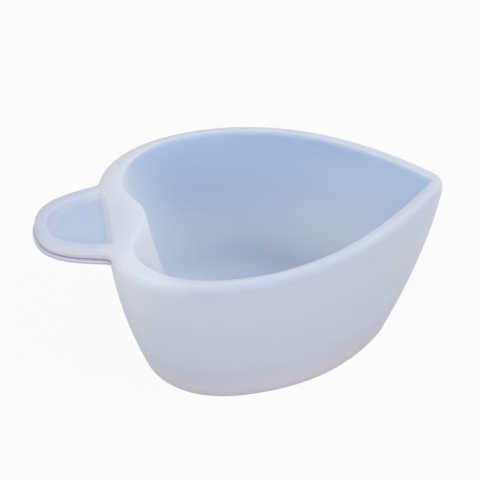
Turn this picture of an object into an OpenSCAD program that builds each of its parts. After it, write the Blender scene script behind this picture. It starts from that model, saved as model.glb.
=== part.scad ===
// Leaf-shaped resin mixing cup of moulded silicone with a finger tab.
// The real cup is one moulding. The modules are its zones, and they meet face to face.
// The origin is on the resting face, in the middle of the cup's length. +X runs to the pouring tip.

/* [Mouth] */
// Height from the resting face to the top of the rim
cup_h = 37.2; // [34:0.2:40]
// Length from the widest station of the mouth to its pointed end
mouth_tip = 42.7; // [41:0.1:45]
// Half of the width of the mouth at its widest station
mouth_half_w = 20.6; // [19.6:0.1:21.6]
// Length from the widest station back to the far side of the lobes
mouth_lobe = 19.9; // [19:0.1:21]
// Offset of each lobe's far point from the middle line
mouth_lobe_off = 9.5; // [9:0.1:10.5]
// Depth of the notch between the two lobes
mouth_notch = 3.6; // [2.8:0.1:4.2]
// Radius of the mouth at its pointed end
mouth_tip_r = 0.5; // [0.3:0.1:1]
// Angle between the middle line and the sides at the pointed end, in degrees
tip_angle = 43.7; // [42:0.1:46]

/* [Rim] */
// Thickness of the rim at the pouring tip
rim_tip_t = 2.6; // [2.2:0.1:3.2]
// Thickness of the rim along the sides
rim_side_t = 2; // [1.8:0.1:2.6]
// Thickness of the rim round the lobes
rim_lobe_t = 5.1; // [4.6:0.1:5.6]
// Offset of the far point of each lobe's outer face from the middle line
rim_lobe_off = 9.1; // [8.6:0.1:10]
// Depth of the notch in the outer face, under the tab
rim_notch = 4; // [2:0.1:4.6]
// Radius of the rim's outer top edge
rim_edge_r = 1.4; // [0.6:0.1:1.6]

/* [Base] */
// Shift of the widest station towards the tip from the rim down to the base
base_shift = 1.2; // [0:0.1:3]
// Length from the widest station of the base to its pointed end
base_tip = 33.1; // [32:0.1:35]
// Half of the width of the base at its widest station
base_half_w = 20.6; // [19.6:0.1:21.2]
// Length from the widest station of the base back to its lobes
base_lobe = 19.2; // [18:0.1:20]
// Offset of each base lobe's far point from the middle line
base_lobe_off = 7.2; // [6.4:0.1:8]
// Depth of the notch in the base
base_notch = 3; // [2:0.1:4]
// Radius of the base at its pointed end
base_tip_r = 13.4; // [8:0.1:14]
// Radius of the edge round the resting face
base_edge_r = 1; // [0.6:0.1:2]
// Share of the outer wall's lean that comes low down, as in a bowl
outer_bow = 0.66; // [0.3:0.01:0.7]

/* [Cavity] */
// Thickness of the floor
floor_t = 2.6; // [2:0.1:3.5]
// Length from the widest station of the cavity floor to its pointed end
cavity_tip = 29; // [27:0.1:30]
// Half of the width of the cavity floor
cavity_half_w = 16.2; // [15:0.1:17.4]
// Length from the widest station of the cavity floor back to its lobes
cavity_lobe = 15.2; // [14:0.1:15.6]
// Offset of each floor lobe's far point from the middle line
cavity_lobe_off = 7.8; // [7:0.1:8.4]
// Depth of the notch in the cavity floor
cavity_notch = 5.7; // [4.6:0.1:6.4]
// Radius of the cavity floor at its pointed end
cavity_tip_r = 3.8; // [3.4:0.1:4.4]
// Radius between the floor and the wall inside the cup
floor_fillet_r = 2.4; // [1:0.1:2.6]
// Share of the inner wall's lean that comes low down
inner_bow = 0.45; // [0.2:0.01:0.55]

/* [Finger tab] */
// Length from the widest station of the mouth to the end of the tab
tab_reach = 39.3; // [38:0.1:41]
// Half of the width of the tab's body where it meets the cup
tab_half_w = 10.1; // [9.4:0.1:11]
// Angle at which the tab's sides spread towards the cup, in degrees
tab_spread = 12; // [6:1:16]
// Height of the bead above the sunk panel
bead_h = 1; // [0.6:0.1:1.4]
// Thickness of the tab under the bead
plate_t = 2.3; // [1.8:0.1:2.8]
// Thickness of the ledge that runs round the tab's foot
ledge_t = 0.8; // [0.6:0.1:1.2]
// How far the ledge stands out past the tab's body
ledge_w = 0.5; // [0.2:0.1:0.8]
// Width of the bead round the sunk panel
bead_w = 2.4; // [1.8:0.1:2.8]
// Width of the bead between the sunk panel and the notch in the rim's outer face
panel_root_w = 2.7; // [2.2:0.1:4]
// Radius of the corners of the sunk panel
panel_corner_r = 1.3; // [0.5:0.1:2.5]

/* [Hidden] */

// Overall length, and where the mouth's widest station, the tab's end and the panel's straight side lie
overall_len = tab_reach + mouth_tip + rim_tip_t;
mouth_x = tab_reach - overall_len / 2;
tab_end_x = -overall_len / 2;
panel_root_x = mouth_x - mouth_lobe - rim_lobe_t + rim_notch - panel_root_w;
// Underside of the tab, where the rim zone meets the wall zone too
rim_z = cup_h - bead_h - plate_t;

// Points along the tip's arc, the sides, the lobes and the notch, on each half
TIP_STEPS = 5;
SIDE_STEPS = 24;
LOBE_STEPS = 18;
NOTCH_STEPS = 9;
// Steps down a wall, down the rim, round a small edge and along half of the tab
WALL_STEPS = 8;
RIM_STEPS = 2;
EDGE_STEPS = 4;
TAB_STEPS = 16;

// Handles of the tab's curve, as shares of its width and length
TAB_END_HANDLE = 0.74;
TAB_ROOT_HANDLE = 0.56;
// Handles of the notch curves, as shares of the lobe offset
NOTCH_LOBE_HANDLE = 0.39;
NOTCH_MID_HANDLE = 0.46;
// Handles of the sides at the tip and at the waist, then of the lobes at the waist and at their end
INNER_HANDLES = [0.39, 0.41, 0.82, 0.28];
OUTER_HANDLES = [0.16, 0.51, 0.81, 0.26];

// Each outline is [station x, tip length, half width, lobe length, lobe offset, notch depth, tip radius]
mouth_line = concat(
    [mouth_x, mouth_tip, mouth_half_w, mouth_lobe, mouth_lobe_off, mouth_notch, mouth_tip_r],
    INNER_HANDLES
);
cavity_line = concat(
    [mouth_x + base_shift, cavity_tip, cavity_half_w, cavity_lobe],
    [cavity_lobe_off, cavity_notch, cavity_tip_r],
    INNER_HANDLES
);
rim_line = concat(
    [mouth_x, mouth_tip + rim_tip_t, mouth_half_w + rim_side_t, mouth_lobe + rim_lobe_t],
    [rim_lobe_off, rim_notch, mouth_tip_r + rim_tip_t],
    OUTER_HANDLES
);
base_line = concat(
    [mouth_x + base_shift, base_tip, base_half_w, base_lobe],
    [base_lobe_off, base_notch, base_tip_r],
    OUTER_HANDLES
);

function bezier(a, b, c, d, t) =
    a * pow(1 - t, 3) + b * 3 * t * pow(1 - t, 2) + c * 3 * t * t * (1 - t) + d * pow(t, 3);

// Points of a curve after its start, up to and with its end
function curve(a, b, c, d, steps) = [for (i = [1:steps]) bezier(a, b, c, d, i / steps)];

// Half of a leaf outline, from the tip on the middle line to the notch
function half_leaf(s) =
    let (
        tip_centre = [s[0] + s[1] - s[6], 0],
        side_dir = [-cos(tip_angle), sin(tip_angle)],
        side_start = tip_centre + s[6] * [sin(tip_angle), cos(tip_angle)],
        waist = [s[0], s[2]],
        lobe = [s[0] - s[3], s[4]],
        notch = [s[0] - s[3] + s[5], 0]
    )
    concat(
        [for (i = [0:TIP_STEPS])
            let (a = (90 - tip_angle) * i / TIP_STEPS) tip_centre + s[6] * [cos(a), sin(a)]],
        curve(
            side_start, side_start + side_dir * s[1] * s[7],
            waist + [s[1] * s[8], 0], waist, SIDE_STEPS
        ),
        curve(
            waist, waist - [s[3] * s[9], 0],
            lobe + [0, (s[2] - s[4]) * s[10]], lobe, LOBE_STEPS
        ),
        curve(
            lobe, lobe - [0, s[4] * NOTCH_LOBE_HANDLE],
            notch + [0, s[4] * NOTCH_MID_HANDLE], notch, NOTCH_STEPS
        )
    );

// A half outline and its mirror image, without a second copy of the points on the middle line
function closed(half) =
    concat(half, [for (i = [len(half) - 2:-1:1]) [half[i][0], -half[i][1]]]);

function leaf(s) = closed(half_leaf(s));

// Outline moved inwards by a distance, square to itself
function inset(line, dist) =
    let (n = len(line))
    [for (i = [0:n - 1])
        let (d = line[(i + 1) % n] - line[(i + n - 1) % n])
        line[i] + dist * [-d[1], d[0]] / norm(d)];

function ring(line, z) = [for (p = line) [p[0], p[1], z]];

// Share of the lean that a wall has reached at a share of its depth
function lean(bow, depth) = (1 - bow) * depth + bow * depth * depth;

function outer_line(z) = leaf(rim_line + (base_line - rim_line) * lean(outer_bow, 1 - z / cup_h));

function inner_line(z) =
    leaf(mouth_line + (cavity_line - mouth_line)
        * lean(inner_bow, (cup_h - z) / (cup_h - floor_t)));

function outer_rings(z0, z1, steps) =
    [for (i = [0:steps]) let (z = z0 + (z1 - z0) * i / steps) ring(outer_line(z), z)];

function inner_rings(z0, z1, steps) =
    [for (i = [0:steps]) let (z = z0 + (z1 - z0) * i / steps) ring(inner_line(z), z)];

// Rounded top edge outside the rim
rim_edge_rings = [for (i = [1:EDGE_STEPS])
    let (a = 90 * i / EDGE_STEPS, z = cup_h - rim_edge_r * (1 - sin(a)))
    ring(inset(outer_line(z), rim_edge_r * (1 - cos(a))), z)];

// Rounded edge from the resting face up to the wall
base_edge_rings = [for (i = [0:EDGE_STEPS])
    let (a = 90 * (1 - i / EDGE_STEPS), z = base_edge_r * (1 - sin(a)))
    ring(inset(outer_line(z), base_edge_r * (1 - cos(a))), z)];

// Rounded corner inside the cup, from the wall down to the floor
floor_fillet_rings = [for (i = [1:EDGE_STEPS])
    let (a = 90 * i / EDGE_STEPS, z = floor_t + floor_fillet_r * (1 - sin(a)))
    ring(inset(inner_line(z), floor_fillet_r * (1 - cos(a))), z)];

function joined(lists) = [for (l = lists) for (p = l) p];

function band_faces(n, a, b) =
    [for (j = [0:n - 1]) let (k = (j + 1) % n)
        for (f = [[a * n + j, b * n + j, b * n + k], [a * n + j, b * n + k, a * n + k]]) f];

// Ring-shaped solid whose section runs through the rings and back to the first one
module loop_solid(rings) {
    n = len(rings[0]);
    m = len(rings);
    polyhedron(
        points = joined(rings),
        faces = joined([for (i = [0:m - 1]) band_faces(n, i, (i + 1) % m)]),
        convexity = 6
    );
}

// Filled solid through the rings, closed flat at both ends
module stack_solid(rings) {
    n = len(rings[0]);
    m = len(rings);
    low = [mouth_x, 0, rings[0][0][2]];
    high = [mouth_x, 0, rings[m - 1][0][2]];
    polyhedron(
        points = concat(joined(rings), [low, high]),
        faces = concat(
            joined([for (i = [0:m - 2]) band_faces(n, i, i + 1)]),
            [for (j = [0:n - 1]) [m * n, j, (j + 1) % n]],
            [for (j = [0:n - 1]) [m * n + 1, (m - 1) * n + (j + 1) % n, (m - 1) * n + j]]
        ),
        convexity = 6
    );
}

// Tab outline from its rounded end to a root that lies inside the rim, grown by a distance
function tab_outline(grow) =
    let (
        end = [tab_end_x + ledge_w - grow, 0],
        root = [mouth_x - mouth_lobe - rim_lobe_t / 2, tab_half_w + grow],
        span = root[0] - end[0],
        spread = [cos(tab_spread), sin(tab_spread)]
    )
    concat(
        [end],
        curve(
            end, end + [0, root[1] * TAB_END_HANDLE],
            root - spread * span * TAB_ROOT_HANDLE, root, TAB_STEPS
        )
    );

module tab_shape(grow) {
    half = tab_outline(grow);
    polygon(concat(half, [for (i = [len(half) - 1:-1:1]) [half[i][0], -half[i][1]]]));
}

// Sunk panel, with a straight side next to the cup
module panel_shape() {
    offset(r = panel_corner_r, $fn = 32)
        offset(delta = -panel_corner_r)
            intersection() {
                tab_shape(-bead_w);
                translate([tab_end_x, -tab_half_w])
                    square([panel_root_x - tab_end_x, tab_half_w * 2]);
            }
}

// Everything inside the outer face of the cup, near the rim
module cup_body() {
    stack_solid(concat(outer_rings(rim_z, cup_h - rim_edge_r, RIM_STEPS), rim_edge_rings));
}

module cup_floor() {
    color("lightsteelblue")
        stack_solid(concat(base_edge_rings, [ring(outer_line(floor_t), floor_t)]));
}

module side_wall() {
    color("aliceblue")
        loop_solid(concat(
            outer_rings(floor_t, rim_z, WALL_STEPS),
            inner_rings(rim_z, floor_t + floor_fillet_r, WALL_STEPS),
            floor_fillet_rings
        ));
}

module rim() {
    color("ghostwhite")
        loop_solid(concat(
            outer_rings(rim_z, cup_h - rim_edge_r, RIM_STEPS),
            rim_edge_rings,
            inner_rings(cup_h, rim_z, RIM_STEPS)
        ));
}

module tab_plate() {
    color("lightsteelblue")
        difference() {
            translate([0, 0, rim_z]) {
                linear_extrude(ledge_t) tab_shape(ledge_w);
                linear_extrude(plate_t) tab_shape(0);
            }
            cup_body();
        }
}

module tab_bead() {
    color("ghostwhite")
        difference() {
            translate([0, 0, rim_z + plate_t]) linear_extrude(bead_h)
                difference() {
                    tab_shape(0);
                    panel_shape();
                }
            cup_body();
        }
}

cup_floor();
side_wall();
rim();
tab_plate();
tab_bead();
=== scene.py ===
"""Resin mixing cup: one translucent silicone moulding on a plain pale floor."""
import math

import bmesh
import bpy
import numpy as np
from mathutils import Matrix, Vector
from mathutils.bvhtree import BVHTree
from mathutils.geometry import tessellate_polygon


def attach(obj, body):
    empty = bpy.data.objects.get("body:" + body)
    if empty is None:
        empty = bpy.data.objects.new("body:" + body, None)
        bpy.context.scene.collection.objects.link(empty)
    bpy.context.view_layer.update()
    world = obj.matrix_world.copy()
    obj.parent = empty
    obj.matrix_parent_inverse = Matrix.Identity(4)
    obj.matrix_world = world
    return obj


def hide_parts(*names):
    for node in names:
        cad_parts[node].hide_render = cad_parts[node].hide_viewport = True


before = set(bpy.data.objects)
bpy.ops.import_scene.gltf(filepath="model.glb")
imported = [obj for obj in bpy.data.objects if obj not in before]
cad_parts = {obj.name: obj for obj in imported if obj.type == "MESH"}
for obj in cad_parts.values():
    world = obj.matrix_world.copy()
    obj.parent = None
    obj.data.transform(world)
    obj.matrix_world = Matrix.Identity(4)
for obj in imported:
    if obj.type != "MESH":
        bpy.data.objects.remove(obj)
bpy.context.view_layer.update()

MM = 0.001

# Sizes of the moulding in millimetres, under the same names as in the part's source
CUP_H = 37.2
TIP_ANGLE = math.radians(43.7)
MOUTH_TIP, MOUTH_HALF_W, MOUTH_LOBE = 42.7, 20.6, 19.9
RIM_TIP_T, RIM_SIDE_T, RIM_LOBE_T, RIM_NOTCH, RIM_EDGE_R = 2.6, 2.0, 5.1, 4.0, 1.4
BASE_SHIFT = 1.2
OUTER_BOW, INNER_BOW = 0.66, 0.45
FLOOR_T, FLOOR_FILLET_R, BASE_EDGE_R = 2.6, 2.4, 1.0
TAB_REACH, TAB_HALF_W, TAB_SPREAD = 39.3, 10.1, math.radians(12)
BEAD_H, PLATE_T, LEDGE_W, BEAD_W = 1.0, 2.3, 0.5, 2.4
PANEL_ROOT_W, PANEL_CORNER_R = 2.7, 1.3

# Soft edges that only this skin has. The rim rounds off further down than in, the mouth's edge is
# small along the sides and broad on the ridge, and the panel has a rolled lip and a soft foot.
RIM_EDGE_DROP = 2.5
MOUTH_EDGE_R, RIDGE_EDGE_R = 0.25, 1.15
PANEL_LIP_DROP, PANEL_LIP_W, PANEL_FOOT_W = 0.4, 0.55, 0.8

# Where the mouth's widest station, the rim's far point at the blunt end, the tab's end above its
# ledge, and the tab's underside lie
OVERALL_LEN = TAB_REACH + MOUTH_TIP + RIM_TIP_T
MOUTH_X = TAB_REACH - OVERALL_LEN / 2
LOBE_END_X = MOUTH_X - MOUTH_LOBE - RIM_LOBE_T
TAB_END_X = -OVERALL_LEN / 2 + LEDGE_W
TAB_Z = CUP_H - BEAD_H - PLATE_T

# Curve handles, as shares of a length: of the sides at the tip and the waist, and of the lobes at
# the waist and their far point, then of the notch, and of the tab's side at its end and its root
INNER_HANDLES = (0.39, 0.41, 0.82, 0.28)
OUTER_HANDLES = (0.16, 0.51, 0.81, 0.26)
NOTCH_HANDLES = (0.39, 0.46)
TAB_HANDLES = (0.74, 0.56)

# Each outline: widest station's x, tip length, half width, lobe length, lobe offset, notch depth,
# tip radius, and the curve handles
MOUTH = np.array((MOUTH_X, MOUTH_TIP, MOUTH_HALF_W, MOUTH_LOBE, 9.5, 3.6, 0.5) + INNER_HANDLES)
CAVITY = np.array((MOUTH_X + BASE_SHIFT, 29, 16.2, 15.2, 7.8, 5.7, 3.8) + INNER_HANDLES)
RIM = np.array((
    MOUTH_X, MOUTH_TIP + RIM_TIP_T, MOUTH_HALF_W + RIM_SIDE_T, MOUTH_LOBE + RIM_LOBE_T,
    9.1, RIM_NOTCH, 3.1,
) + OUTER_HANDLES)
BASE = np.array((MOUTH_X + BASE_SHIFT, 33.1, 20.6, 19.2, 7.2, 3, 13.4) + OUTER_HANDLES)

# Steps along the tip's arc, the sides, the lobes and the notch of half an outline
TIP_STEPS, SIDE_STEPS, LOBE_STEPS, NOTCH_STEPS = 10, 56, 44, 18
LOBE_COLUMN = TIP_STEPS + SIDE_STEPS
NOTCH_COLUMN = LOBE_COLUMN + LOBE_STEPS
HALF = NOTCH_COLUMN + NOTCH_STEPS
AROUND = 2 * HALF

# Columns between which the mouth's edge broadens, and between which the ridge inside gets painted
# light
SOFT_COLUMNS = (NOTCH_COLUMN - 26, NOTCH_COLUMN - 2)
RIDGE_COLUMNS = (NOTCH_COLUMN - 14, NOTCH_COLUMN + 3)

# Rows down the outer and the inner wall, and steps round the edges
OUTER_ROWS, INNER_ROWS = 27, 29
BASE_EDGE_STEPS, FLOOR_FILLET_STEPS, MOUTH_EDGE_STEPS, PANEL_WALL_STEPS = 6, 8, 5, 5


def smooth(share):
    """A share from 0 to 1, eased at both ends."""
    return share * share * (3 - 2 * share)


def bezier(a, b, c, d, steps):
    """Points of a curve after its start, up to and with its end."""
    t = np.linspace(0, 1, steps + 1)[1:, None]
    return a * (1 - t) ** 3 + b * 3 * t * (1 - t) ** 2 + c * 3 * t * t * (1 - t) + d * t**3


def half_leaf(outline):
    """Half of a leaf outline, from the tip on the middle line to the notch."""
    x, tip, half_w, lobe_len, lobe_off, notch_in, tip_r = outline[:7]
    tip_handle, waist_handle, back_handle, lobe_handle = outline[7:]
    centre = np.array((x + tip - tip_r, 0))
    side_dir = np.array((-math.cos(TIP_ANGLE), math.sin(TIP_ANGLE)))
    start = centre + tip_r * np.array((math.sin(TIP_ANGLE), math.cos(TIP_ANGLE)))
    waist = np.array((x, half_w))
    lobe = np.array((x - lobe_len, lobe_off))
    notch = np.array((x - lobe_len + notch_in, 0))
    turn = np.linspace(0, math.pi / 2 - TIP_ANGLE, TIP_STEPS + 1)
    arc = centre + tip_r * np.stack((np.cos(turn), np.sin(turn)), 1)
    ahead, out = np.array((1, 0)), np.array((0, 1))
    side = bezier(
        start, start + side_dir * tip * tip_handle,
        waist + ahead * tip * waist_handle, waist, SIDE_STEPS,
    )
    back = bezier(
        waist, waist - ahead * lobe_len * back_handle,
        lobe + out * (half_w - lobe_off) * lobe_handle, lobe, LOBE_STEPS,
    )
    inward = bezier(
        lobe, lobe - out * lobe_off * NOTCH_HANDLES[0],
        notch + out * lobe_off * NOTCH_HANDLES[1], notch, NOTCH_STEPS,
    )
    return np.vstack((arc, side, back, inward))


def closed(half):
    """A half outline and its mirror image, without a second copy of the middle line's points."""
    return np.vstack((half, half[-2:0:-1] * (1, -1)))


def inset(line, dist):
    """A closed outline moved inwards by a distance, square to itself."""
    ahead = np.roll(line, -1, 0) - line
    ahead /= np.linalg.norm(ahead, axis=1)[:, None]
    run = ahead + np.roll(ahead, 1, 0)
    return line + dist * np.stack((-run[:, 1], run[:, 0]), 1) / np.linalg.norm(run, axis=1)[:, None]


def lean(bow, depth):
    """Share of its whole lean that a wall has reached at a share of its depth."""
    return (1 - bow) * depth + bow * depth * depth


def outer_line(z):
    """Outline of the cup's outer face at a height."""
    return closed(half_leaf(RIM + (BASE - RIM) * lean(OUTER_BOW, 1 - z / CUP_H)))


def inner_line(z):
    """Outline of the cavity at a height."""
    depth = (CUP_H - z) / (CUP_H - FLOOR_T)
    return closed(half_leaf(MOUTH + (CAVITY - MOUTH) * lean(INNER_BOW, depth)))


def quarter(steps):
    """Rise and run of a rounded edge, from its upright start to its flat end, as shares."""
    turn = np.linspace(0, math.pi / 2, steps + 1)
    return [(math.sin(a), 1 - math.cos(a)) for a in turn]


def raised(line, z):
    """A flat outline as points at a height."""
    return np.column_stack((line, np.full(len(line), z)))


def outer_row(z, dist=0.0):
    return raised(inset(outer_line(z), dist), z)


def inner_row(z, dist=0.0):
    return raised(inset(inner_line(z), dist), z)


# Root of the tab: how far its fillet reaches round the cup and out along the tab, the pull of the
# fillet's curve, the cup's column and the tab's station where it starts, and the end of the curve
# that the tab's side follows
FILLET_W, FILLET_LEN, FILLET_HANDLE = 1.1, 1.2, 0.6
ROOT_COLUMN = LOBE_COLUMN + int(np.sum(half_leaf(RIM)[LOBE_COLUMN:, 1] > TAB_HALF_W + FILLET_W))
FILLET_X = LOBE_END_X - FILLET_LEN
TAB_ROOT_X = MOUTH_X - MOUTH_LOBE - RIM_LOBE_T / 2

# Columns of the cup's outline that the tab leaves free, on its far and its near side
FAR_COLUMNS = list(range(ROOT_COLUMN + 1))
NEAR_COLUMNS = list(range(AROUND - ROOT_COLUMN, AROUND))

# Sunk panel: its straight side, where its wall starts to soften towards the tab's end, and the
# handles of its corners, along them and for the slant of the tab's side
PANEL_ROOT_X = LOBE_END_X + RIM_NOTCH - PANEL_ROOT_W
PANEL_SOFT_X = TAB_END_X + 7.5
CORNER_HANDLE, CORNER_SLANT = 0.56, 0.16

# Rings of the panel's flat, as shares of its outline round a point near its straight side, and how
# far each of them counts as hollow
PANEL_FLAT = [(0.985, 0.35), (0.96, 0.58), (0.92, 0.72), (0.87, 0.78)]
RING_CENTRE_X = PANEL_ROOT_X - 3

# Steps along the tab's side, its root fillet, and the panel's side, corner and straight half
TAB_STEPS, ROOT_STEPS, PANEL_STEPS, CORNER_STEPS, STRAIGHT_STEPS = 40, 9, 34, 8, 6
# Steps of the fine curve from which the tab's side takes evenly spaced points
FINE_STEPS = 400


def tab_side(grow, x_stop, steps):
    """Half of the tab's outline, from its rounded end to a station near the cup."""
    end = np.array((TAB_END_X - grow, 0))
    root = np.array((TAB_ROOT_X, TAB_HALF_W + grow))
    spread = np.array((math.cos(TAB_SPREAD), math.sin(TAB_SPREAD)))
    handle_end = end + np.array((0, root[1] * TAB_HANDLES[0]))
    handle_root = root - spread * (root[0] - end[0]) * TAB_HANDLES[1]
    fine = np.vstack((end, bezier(end, handle_end, handle_root, root, FINE_STEPS)))
    walked = np.concatenate(([0], np.cumsum(np.linalg.norm(np.diff(fine, axis=0), axis=1))))
    at = np.linspace(0, np.interp(x_stop, fine[:, 0], walked), steps + 1)
    return np.column_stack((np.interp(at, walked, fine[:, 0]), np.interp(at, walked, fine[:, 1])))


def along_half(columns, first, last):
    """Values round a leaf outline that change between two columns of each half."""
    half = first + (last - first) * smooth(np.interp(np.arange(HALF + 1), columns, (0.0, 1.0)))
    return np.concatenate((half, half[-2:0:-1]))


def mouth_edge_row(rise, run):
    """Row on the mouth's rounded edge, which is small along the sides and broad on the ridge."""
    radius = along_half(SOFT_COLUMNS, MOUTH_EDGE_R, RIDGE_EDGE_R)
    down = radius * (1 - rise)
    top, low = inner_line(CUP_H), inner_line(CUP_H - RIDGE_EDGE_R)
    line = top + (low - top) * (down / RIDGE_EDGE_R)[:, None]
    return np.column_stack((inset(line, -(radius * run)[:, None]), CUP_H - down))


def edge_profile(low, high, width, drop, straight, steps):
    """Heights and insets of an upright face whose top edge is rounded over a width and a drop."""
    rows = [(z, 0.0) for z in np.linspace(low, high - drop, straight)]
    return rows + [(high - drop + drop * rise, width * run) for rise, run in quarter(steps)[1:]]


# The tab's lower edge, a ledge and a fine groove: height above the underside, reach beyond the
# bead's face, and the share of painted shade, full deep in the groove. The bead's plain face starts
# above it.
TAB_FOOT = [
    (0.0, 0.25, 0.0), (0.07, 0.42, 0.0), (0.22, 0.5, 0.0), (0.45, 0.5, 0.0), (0.62, 0.45, 0.0),
    (0.72, 0.32, 0.1), (0.76, 0.0, 0.6), (0.8, -0.4, 1.0),
    (1.06, -0.4, 1.0), (1.14, -0.06, 0.5), (1.26, 0.0, 0.1),
]
BEAD_FOOT_Z = TAB_Z + 1.6
# Radius of the bead's top edge, and the share of painted light on the tab's upright edge
TAB_EDGE_R, TAB_EDGE_GLOW = 0.9, 0.9

# Heights and insets of the cup's face beside the tab and of the tab's edge, row by row, so both
# have the same number of rows: on the straight face and round its top edge
FACE_ROWS, FACE_EDGE_STEPS = 8, 12
BEAD_ROWS, BEAD_EDGE_STEPS = 3, 6
CUP_SECTION = edge_profile(TAB_Z, CUP_H, RIM_EDGE_R, RIM_EDGE_DROP, FACE_ROWS, FACE_EDGE_STEPS)
TAB_SECTION = [(TAB_Z + up, -out) for up, out, _ in TAB_FOOT]
TAB_SECTION += edge_profile(BEAD_FOOT_Z, CUP_H, TAB_EDGE_R, TAB_EDGE_R, BEAD_ROWS, BEAD_EDGE_STEPS)
TAB_GROOVE_SHADE = [depth for _, _, depth in TAB_FOOT] + [0.0] * (BEAD_ROWS + BEAD_EDGE_STEPS)

# Rise and run of the mouth's edge from its flat top inwards, and heights and distances inwards of
# the panel's wall, first its rolled lip and then its foot
MOUTH_EDGE = quarter(MOUTH_EDGE_STEPS)[::-1]
PANEL_WALL = [
    (CUP_H - PANEL_LIP_DROP * (1 - rise), -PANEL_LIP_W * run)
    for rise, run in quarter(PANEL_WALL_STEPS)[::-1]
]
PANEL_WALL += [
    (CUP_H - PANEL_LIP_DROP - (BEAD_H - PANEL_LIP_DROP) * rise, PANEL_FOOT_W * run)
    for rise, run in quarter(PANEL_WALL_STEPS)[1:]
]
# Share by which each row of the mouth's edge counts as more hollow than the one before
MOUTH_EDGE_TONE = 0.1


def root_blend(a, a_before, b, b_after, lift_a, lift_b):
    """Small fillet in plan from the cup's face to the tab's side, with its height eased between."""
    down = (a - a_before) / np.linalg.norm(a - a_before)
    along = (b_after - b) / np.linalg.norm(b_after - b)
    reach = FILLET_HANDLE * np.abs(b - a)
    line = bezier(a, a + down * reach[1], b - along * reach[0], b, ROOT_STEPS)[:-1]
    share = smooth(np.linspace(0, 1, ROOT_STEPS + 1)[1:-1])
    return np.column_stack((line, lift_a + (lift_b - lift_a) * share))


def flange_row(cup_at, tab_at):
    """One row round the tab and its root fillets, without the cup's own columns."""
    (cup_z, cup_in), (tab_z, tab_in) = cup_at, tab_at
    cup = inset(outer_line(cup_z), cup_in)
    side = tab_side(-tab_in, FILLET_X, TAB_STEPS)[::-1]
    blend = root_blend(cup[ROOT_COLUMN], cup[ROOT_COLUMN - 1], side[0], side[1], cup_z, tab_z)
    upper = np.vstack((blend, raised(side, tab_z)))
    return np.vstack((upper, upper[-2::-1] * (1, -1, 1)))


def panel_row(z, dist):
    """Outline of the sunk panel: the tab's own curve, two round corners and a straight side.

    Its wall is steep along the sides and next to the cup, and up to twice as wide at the tab's end.
    """
    side = tab_side(-BEAD_W, PANEL_ROOT_X - PANEL_CORNER_R, PANEL_STEPS)
    turn = np.array((PANEL_ROOT_X, side[-1][1] - PANEL_CORNER_R))
    reach = CORNER_HANDLE * PANEL_CORNER_R
    slant = side[-1] + (reach, CORNER_SLANT * reach)
    corner = bezier(side[-1], slant, turn + (0, reach), turn, CORNER_STEPS)
    down = np.linspace(1, 0, STRAIGHT_STEPS + 1)[1:]
    straight = turn * (1, 0) + np.outer(down, turn * (0, 1))
    loop = closed(np.vstack((side, corner, straight)))
    share = np.clip((PANEL_SOFT_X - loop[:, 0]) / (PANEL_SOFT_X - loop[0, 0]), 0, 1)
    return raised(inset(loop, -dist * (1 + smooth(share))[:, None]), z)


class Skin:
    """Grows one closed skin from rows of points, in millimetres."""

    def __init__(self):
        self.points, self.faces = [], []
        self.zones = {"hollow": [], "painted_glow": [], "groove_shade": []}

    def row(self, points, hollow=0.0, painted_glow=0.0, groove_shade=0.0):
        """Adds points, and says from 0 to 1 how far they count as inside the cavity or the panel,
        how much painted light they get where silicone is heaped up behind them, and how much painted
        shade they get deep in the tab's groove.
        """
        first = len(self.points)
        self.points.extend(map(tuple, points))
        for zone, value in (("hollow", hollow), ("painted_glow", painted_glow), ("groove_shade", groove_shade)):
            self.zones[zone].extend(np.broadcast_to(value, len(points)))
        return list(range(first, len(self.points)))

    def band(self, a, b, shut=True):
        """Quads between two rows with equal counts."""
        last = len(a) if shut else len(a) - 1
        for i in range(last):
            k = (i + 1) % len(a)
            self.faces.append((a[i], a[k], b[k], b[i]))

    def grow(self, last, rows):
        """Joins new rows to the last one, each given as what row() takes. Gives the newest."""
        for row in rows:
            new = self.row(*row)
            self.band(last, new)
            last = new
        return last

    def flat(self, outline, hole=()):
        """Flat face inside an outline, with a hole in it if one is given."""
        loops = [[Vector(self.points[i]) for i in loop] for loop in (outline, hole) if len(loop)]
        flat_index = list(outline) + list(hole)
        for tri in tessellate_polygon(loops):
            self.faces.append(tuple(flat_index[i] for i in tri))

    def mesh(self, name):
        """The skin as a smooth mesh in metres, with its zones as point attributes."""
        mesh = bpy.data.meshes.new(name)
        mesh.from_pydata([tuple(c * MM for c in p) for p in self.points], [], self.faces)
        for zone, values in self.zones.items():
            mesh.attributes.new(zone, "FLOAT", "POINT").data.foreach_set("value", values)
        bm = bmesh.new()
        bm.from_mesh(mesh)
        bmesh.ops.recalc_face_normals(bm, faces=bm.faces)
        for face in bm.faces:
            face.smooth = True
        bm.to_mesh(mesh)
        bm.free()
        return mesh


def add_outer_wall(skin):
    """Outer wall from under the tab down to the resting face. Gives its top row."""
    top = skin.row(outer_row(TAB_Z))
    rows = [(outer_row(z),) for z in np.linspace(TAB_Z, BASE_EDGE_R, OUTER_ROWS)[1:]]
    for rise, run in quarter(BASE_EDGE_STEPS)[1:]:
        rows.append((outer_row(BASE_EDGE_R * (1 - rise), BASE_EDGE_R * run),))
    skin.flat(skin.grow(top, rows))
    return top


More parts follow.
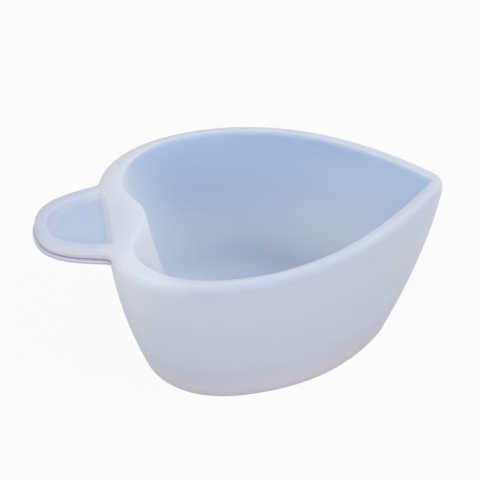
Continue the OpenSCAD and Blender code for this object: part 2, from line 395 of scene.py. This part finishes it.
def add_rim_and_tab(skin, wall_top):
    """Face of the rim and edge of the tab, row by row, closed by the tab's underside.

    Gives the top row of both: the cup's points by column, and the tab's points in order.
    """
    free = FAR_COLUMNS + NEAR_COLUMNS
    cup = {column: wall_top[column] for column in free}
    inwards = np.arange(2 * (ROOT_STEPS + TAB_STEPS) - 1)
    # Painted light on the tab's upright edge, fading out where it meets the cup
    edge_glow = TAB_EDGE_GLOW * np.clip(np.minimum(inwards, inwards[::-1]) / ROOT_STEPS, 0, 1)
    lower = None
    for cup_at, tab_at, groove in zip(CUP_SECTION, TAB_SECTION, TAB_GROOVE_SHADE):
        if lower:
            cup = dict(zip(free, skin.row(outer_row(*cup_at)[free])))
        upright = tab_at[0] < CUP_H - TAB_EDGE_R / 2
        tab = skin.row(flange_row(cup_at, tab_at), painted_glow=edge_glow * upright, groove_shade=groove)
        row = [cup[k] for k in FAR_COLUMNS] + tab + [cup[k] for k in NEAR_COLUMNS]
        if lower:
            skin.band(lower, row)
        else:
            underside = [cup[ROOT_COLUMN]] + tab + [cup[AROUND - ROOT_COLUMN]]
            skin.flat(underside + wall_top[AROUND - ROOT_COLUMN - 1:ROOT_COLUMN:-1])
        lower = row
    return cup, tab


def add_top(skin, rim, tab):
    """Flat top of the rim and of the bead. Gives the mouth's row and the panel's lip in it."""
    mouth = skin.row(mouth_edge_row(*MOUTH_EDGE[0]))
    round_tip = NEAR_COLUMNS + FAR_COLUMNS
    skin.band([rim[k] for k in round_tip], [mouth[k] for k in round_tip], shut=False)
    lip = skin.row(panel_row(*PANEL_WALL[0]))
    bead = [rim[ROOT_COLUMN]] + tab + [rim[AROUND - ROOT_COLUMN]]
    skin.flat(bead + mouth[AROUND - ROOT_COLUMN:ROOT_COLUMN - 1:-1], lip)
    return mouth, lip


def add_panel(skin, lip):
    """Soft wall of the sunk panel, and its flat."""
    foot = skin.grow(lip, [(panel_row(z, dist),) for z, dist in PANEL_WALL[1:]])
    outline = panel_row(*PANEL_WALL[-1])
    centre = np.array((RING_CENTRE_X, 0, outline[0][2]))
    rings = [(centre + (outline - centre) * size, hollow) for size, hollow in PANEL_FLAT]
    skin.flat(skin.grow(foot, rings))


def add_cavity(skin, mouth):
    """Rounded edge of the mouth, and the cavity down to its floor, with painted light on the ridge.
    """
    ridge = along_half(RIDGE_COLUMNS, 0.0, 1.0)
    rows = []
    for step, (rise, run) in enumerate(MOUTH_EDGE[1:]):
        tone = MOUTH_EDGE_TONE * step
        rows.append((mouth_edge_row(rise, run), tone, tone * ridge))
    for z in np.linspace(CUP_H - MOUTH_EDGE_R, FLOOR_T + FLOOR_FILLET_R, INNER_ROWS)[1:]:
        rows.append((inner_row(z), 1.0, ridge))
    for rise, run in quarter(FLOOR_FILLET_STEPS)[1:]:
        z = FLOOR_T + FLOOR_FILLET_R * (1 - rise)
        rows.append((inner_row(z, FLOOR_FILLET_R * run), 1.0, ridge * (1 - rise)))
    skin.flat(skin.grow(mouth, rows))


def moulding_skin():
    """The whole cup as one closed skin."""
    skin = Skin()
    wall_top = add_outer_wall(skin)
    rim, tab = add_rim_and_tab(skin, wall_top)
    mouth, lip = add_top(skin, rim, tab)
    add_panel(skin, lip)
    add_cavity(skin, mouth)
    return skin.mesh("cup_moulding")


def linear(hex_code):
    """An sRGB hex colour as linear red, green, blue and full alpha."""
    parts = [int(hex_code[i:i + 2], 16) / 255 for i in (1, 3, 5)]
    return [c / 12.92 if c <= 0.04045 else ((c + 0.055) / 1.055) ** 2.4 for c in parts] + [1.0]


def node(tree, kind, links=None, **settings):
    """Adds a shader node. Settings are its properties and, with spaces as underscores, inputs."""
    made = tree.nodes.new(kind)
    for key, value in settings.items():
        name = key.replace("_", " ")
        if hasattr(made, key):
            setattr(made, key, value)
        else:
            made.inputs[name].default_value = value
    for name, source in (links or {}).items():
        tree.links.new(source, made.inputs[name])
    return made


# Rays into the silicone behind a point: how many, how wide they fan out, the depth in millimetres
# where counting stops, and the start below the surface in metres
WALL_RAYS, RAY_FAN, DEEP_WALL, RAY_START = 12, math.radians(38), 9.0, 1e-5


def measure_walls(mesh):
    """Keeps at each point how much silicone lies behind it, in mm, as the mean of a few rays."""
    count = len(mesh.vertices)
    tree = BVHTree.FromPolygons([v.co for v in mesh.vertices], [p.vertices for p in mesh.polygons])
    depth = np.empty(count)
    for i, vert in enumerate(mesh.vertices):
        inward = -vert.normal
        side = inward.orthogonal().normalized()
        over = inward.cross(side)
        found = []
        for k in range(WALL_RAYS):
            turn = 2 * math.pi * k / WALL_RAYS
            tilt = RAY_FAN * (1 if k % 2 else 0.5)
            across = side * math.cos(turn) + over * math.sin(turn)
            ray = inward * math.cos(tilt) + across * math.sin(tilt)
            hit = tree.ray_cast(vert.co + ray * RAY_START, ray)
            found.append(min(hit[3] / MM, DEEP_WALL) if hit[3] else DEEP_WALL)
        depth[i] = np.mean(found)
    kept = mesh.attributes.new("wall_mm", "FLOAT", "POINT")
    kept.data.foreach_set("value", depth.astype(np.float32))


def translucent_silicone():
    """Milky platinum-cure silicone, moulded against a satin tool.

    Light goes a few millimetres into it. Its colour carries painted light and shade: blue on thin
    walls and in the cavity's shade, and white where silicone is heaped up. The tool leaves a fine
    satin grain that spreads every highlight.
    """
    made = bpy.data.materials.new("translucent_moulded_silicone")
    made.use_nodes = True
    tree = made.node_tree
    tree.nodes.clear()
    place = node(tree, "ShaderNodeTexCoord")
    spot = node(tree, "ShaderNodeSeparateXYZ", {"Vector": place.outputs["Object"]})
    along, up = spot.outputs["X"], spot.outputs["Z"]
    wall, hollow, painted_glow, groove_shade = (
        node(tree, "ShaderNodeAttribute", attribute_name=name).outputs["Fac"]
        for name in ("wall_mm", "hollow", "painted_glow", "groove_shade")
    )

    # What each share follows, between which two values of it, its own value at both, and its ease
    shares = {}
    for name, follows, start, stop, first, last, ease in (
        # Painted blue for light scattered back from thin walls: full up to 2.2 mm, none from 7 mm
        ("thin", wall, 2.2, 7.0, 1.0, 0.0, "SMOOTHSTEP"),
        # The painted blue, also the cavity's shade, is weak outside, near the cavity's floor and on
        # heaped-up silicone
        ("inside", hollow, 0.0, 1.0, 0.25, 1.0, "LINEAR"),
        ("high", up, FLOOR_T * MM, 22 * MM, 0.22, 1.0, "LINEAR"),
        ("clear", painted_glow, 0.0, 1.0, 1.0, 0.15, "LINEAR"),
        # A faint pink glow of light through the solid foot is painted on the outside
        ("foot", up, 2 * MM, 8.5 * MM, 1.0, 0.0, "SMOOTHSTEP"),
        ("outside", hollow, 0.0, 1.0, 1.0, 0.0, "LINEAR"),
        # Painted shade outside follows height. It lags on the thick lobes, so their rim is painted
        # whiter.
        ("level", up, 0.0, CUP_H * MM, 0.0, 1.0, "LINEAR"),
        ("past_tab", along, -32 * MM, -27 * MM, 0.0, 1.0, "SMOOTHSTEP"),
        ("lobes", along, -21 * MM, -11 * MM, 0.045, 0.0, "SMOOTHSTEP"),
        # Light spreads 4 mm in a thin wall and 15 mm in a thick one, and less near the ground
        ("spread", wall, 2.5, 6.0, 4 * MM, 15 * MM, "LINEAR"),
        ("lifted", up, 0.5 * MM, 14 * MM, 0.15, 1.0, "SMOOTHSTEP"),
    ):
        ramp = node(
            tree, "ShaderNodeMapRange", {"Value": follows}, interpolation_type=ease,
            From_Min=start, From_Max=stop, To_Min=first, To_Max=last,
        )
        shares[name] = ramp.outputs["Result"]
    for name, first, *others in (
        ("blue", "thin", "inside", "high", "clear"),
        ("pink", "foot", "outside"),
        ("lobe_rim_light", "past_tab", "lobes"),
        ("depth", "spread", "lifted"),
    ):
        shares[name] = shares[first]
        for other in others:
            links = {0: shares[name], 1: shares[other]}
            shares[name] = node(tree, "ShaderNodeMath", links, operation="MULTIPLY").outputs[0]

    # The outside's light and shade are painted into this ramp.
    # Outside, by share of the cup's height: a shaded foot, whitest below the rim, greyer on its edge
    links = {0: shares["level"], 1: shares["lobe_rim_light"]}
    tone = node(tree, "ShaderNodeMath", links, operation="SUBTRACT")
    outer = node(tree, "ShaderNodeValToRGB", {"Fac": tone.outputs[0]})
    stops = outer.color_ramp.elements
    stops[0].position, stops[0].color = 0.15, linear("#DFE2ED")
    stops[1].position, stops[1].color = 1.0, linear("#CAD0E1")
    stops.new(0.7).color = linear("#EFF2FD")
    stops.new(0.92).color = linear("#EAEDF8")

    # Laid over it: a painted bluish tint inside, painted light on heaped silicone, painted blue on
    # thin walls, a painted glow on the foot, and painted shade in the tab's groove.
    # Sockets 6 and 7 are the mix's two colours.
    colour = outer.outputs["Color"]
    for share, hex_code in (
        # Painted bluish tint of shade and thin silicone, inside the cavity and the panel
        (hollow, "#ECF2FF"),
        # Painted light where silicone is heaped up
        (painted_glow, "#F6F9FF"),
        # Painted blue of light scattered back from thin walls
        (shares["blue"], "#BECEE3"),
        # Painted pink glow on the foot
        (shares["pink"], "#F2EAF0"),
        # Painted shade deep in the tab's groove
        (groove_shade, "#A6A5CC"),
    ):
        layer = node(tree, "ShaderNodeMix", {"Factor": share, 6: colour}, data_type="RGBA")
        layer.inputs[7].default_value = linear(hex_code)
        colour = layer.outputs[2]

    # The real grain of about 0.1 mm is too fine to show here, so it is drawn 0.9 mm wide
    grain = node(
        tree, "ShaderNodeTexNoise", {"Vector": place.outputs["Object"]},
        Scale=1 / (0.9 * MM), Detail=3.0,
    )
    bump = node(
        tree, "ShaderNodeBump", {"Height": grain.outputs["Fac"]}, Strength=0.05, Distance=0.2 * MM
    )
    # Silicone's index is 1.41, and its satin skin has a weak, broad gloss. Light of every colour
    # spreads alike in it, because the blue is painted into the tones above.
    skin = node(
        tree, "ShaderNodeBsdfPrincipled",
        {
            "Normal": bump.outputs["Normal"], "Base Color": colour,
            "Subsurface Scale": shares["depth"],
        },
        Roughness=0.5, IOR=1.41, Specular_IOR_Level=0.2,
        Subsurface_Weight=1.0, Subsurface_Radius=(1.0, 1.0, 1.0),
    )
    node(tree, "ShaderNodeOutputMaterial", {"Surface": skin.outputs["BSDF"]})
    return made


def build_cup():
    """The cup in its material, in place of the five zones of the part's source."""
    cup = bpy.data.objects.new("cup_moulding", moulding_skin())
    bpy.context.collection.objects.link(cup)
    # Keeps the flat tops of the rim and the bead from being shaded like their rounded edges
    normals = cup.modifiers.new("even_normals", "WEIGHTED_NORMAL")
    normals.weight = 60
    measure_walls(cup.data)
    cup.data.materials.append(translucent_silicone())
    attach(cup, "root")
    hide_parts("cup_floor", "side_wall", "rim", "tab_plate", "tab_bead")


def plainly_seen(tree):
    """1 where the eye meets the backdrop, also in a gloss or through glass, and 0 for its light."""
    path = node(tree, "ShaderNodeLightPath")
    seen = path.outputs["Is Camera Ray"]
    for ray in ("Is Glossy Ray", "Is Transmission Ray"):
        links = {0: seen, 1: path.outputs[ray]}
        seen = node(tree, "ShaderNodeMath", links, operation="MAXIMUM").outputs[0]
    return seen


# Floor card: half of its side and its gap below the cup in metres, and the share of plain white in
# what the eye sees of it. The rest is its lit face, which takes the cup's shadow.
CARD_HALF, CARD_GAP, CARD_WHITE = 1.5, 0.1 * MM, 0.95


def pale_floor():
    """Matt white card, seen nearly white, which still takes the cup's shadow."""
    card = bpy.data.materials.new("matt_white_card")
    card.use_nodes = True
    tree = card.node_tree
    tree.nodes.clear()
    matt = node(tree, "ShaderNodeBsdfDiffuse", Color=linear("#A8A8AC"))
    white = node(tree, "ShaderNodeEmission", Color=linear("#FFFFFF"), Strength=1.0)
    seen = node(tree, "ShaderNodeMath", {0: plainly_seen(tree)}, operation="MULTIPLY")
    seen.inputs[1].default_value = CARD_WHITE
    mix = node(
        tree, "ShaderNodeMixShader",
        {"Fac": seen.outputs[0], 1: matt.outputs["BSDF"], 2: white.outputs["Emission"]},
    )
    node(tree, "ShaderNodeOutputMaterial", {"Surface": mix.outputs["Shader"]})
    mesh = bpy.data.meshes.new("floor_card")
    signs = ((-1, -1), (1, -1), (1, 1), (-1, 1))
    corners = [(CARD_HALF * x, CARD_HALF * y, -CARD_GAP) for x, y in signs]
    mesh.from_pydata(corners, [], [(0, 1, 2, 3)])
    mesh.materials.append(card)
    floor = bpy.data.objects.new("floor_card", mesh)
    bpy.context.collection.objects.link(floor)


def studio_world():
    """Pale room that lights the cup softly and is seen as plain white."""
    world = bpy.data.worlds.new("pale_studio")
    world.use_nodes = True
    tree = world.node_tree
    tree.nodes.clear()
    around = node(tree, "ShaderNodeBackground", Color=linear("#E6EBFF"), Strength=0.29)
    behind = node(tree, "ShaderNodeBackground", Color=linear("#FFFFFF"), Strength=1.0)
    mix = node(
        tree, "ShaderNodeMixShader",
        {"Fac": plainly_seen(tree), 1: around.outputs[0], 2: behind.outputs[0]},
    )
    node(tree, "ShaderNodeOutputWorld", {"Surface": mix.outputs["Shader"]})
    bpy.context.scene.world = world


def aim(thing, direction):
    """Turns a lamp or camera to face along a direction."""
    thing.rotation_euler = Vector(direction).to_track_quat("-Z", "Y").to_euler()


def softbox(name, place, width, length, power):
    """White softbox aimed at the cup, in metres and watts."""
    lamp = bpy.data.lights.new(name, "AREA")
    lamp.shape = "RECTANGLE"
    lamp.size, lamp.size_y = width, length
    lamp.energy = power
    thing = bpy.data.objects.new(name, lamp)
    thing.location = place
    aim(thing, Vector((0, 0, 0.02)) - Vector(place))
    bpy.context.collection.objects.link(thing)


def photo_camera():
    """A long lens, fitted to the outlines of the cup's rim, wall and tab in the photograph.

    It aims at the point of the rim's plane that lies in the middle of the photograph.
    """
    azimuth, elevation, distance = math.radians(-9.08), math.radians(47.45), 0.5
    aim_at = Vector(((MOUTH_X + 1.37) * MM, -10.43 * MM, CUP_H * MM))
    back = Vector((
        math.sin(azimuth) * math.cos(elevation), -math.cos(azimuth) * math.cos(elevation),
        math.sin(elevation),
    ))
    lens = bpy.data.cameras.new("photo_camera")
    lens.lens = 187.5
    lens.sensor_width = 36
    lens.clip_start = 0.01
    camera = bpy.data.objects.new("photo_camera", lens)
    camera.location = aim_at + back * distance
    aim(camera, -back)
    bpy.context.collection.objects.link(camera)
    bpy.context.scene.camera = camera


photo_camera()
build_cup()
pale_floor()
studio_world()
softbox("overhead_softbox", (0.0, 0.05, 0.6), 0.5, 0.5, 0.95)
softbox("back_softbox", (0.1, 0.65, 0.14), 0.5, 0.25, 1.0)
softbox("right_softbox", (0.5, -0.22, 0.36), 0.4, 0.4, 1.96)
softbox("left_softbox", (-0.5, -0.45, 0.33), 0.4, 0.4, 2.3)
bpy.context.scene.view_settings.view_transform = "Standard"
